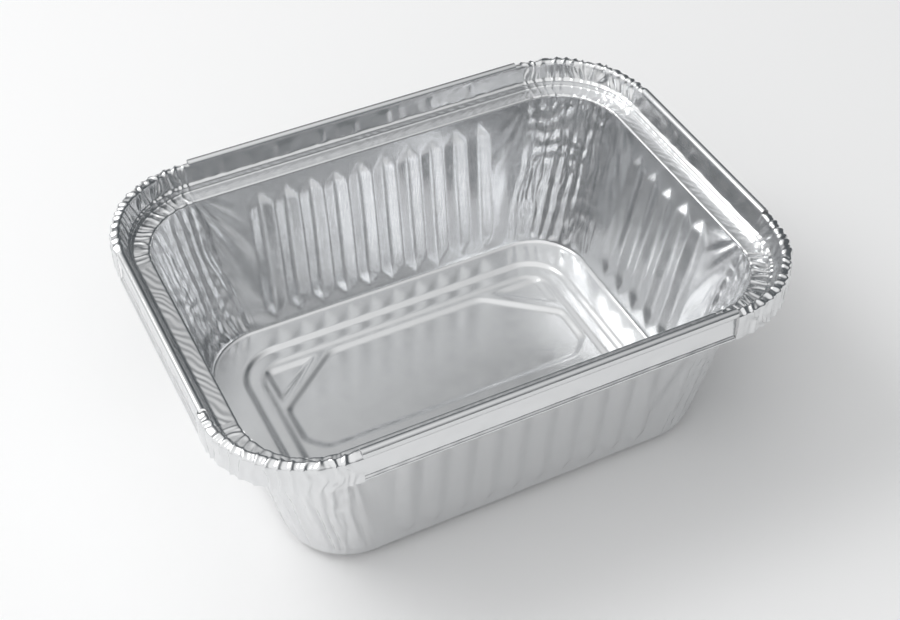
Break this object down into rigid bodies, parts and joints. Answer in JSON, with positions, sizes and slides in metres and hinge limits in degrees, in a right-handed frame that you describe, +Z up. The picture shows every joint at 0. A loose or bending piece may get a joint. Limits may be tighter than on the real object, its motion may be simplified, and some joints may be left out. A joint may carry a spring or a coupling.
{
  "type": "aluminium foil tray",
  "caption": "Rectangular pressed foil tray with tapered fluted walls, gathered corners, pressed base panels and a ledge with a rolled hem.",
  "frame": {"origin": "under the middle of the base, on the plane of the lowest base panels", "axes": "+X along the long side, +Y along the short side, +Z up out of the mouth"},
  "size_m": [0.1484, 0.1098, 0.0555],
  "materials": {
    "foil": "rolled foil, bright, semi-gloss"
  },
  "bodies": {
    "root": {"tray": "foil"}
  },
  "joints": []
}
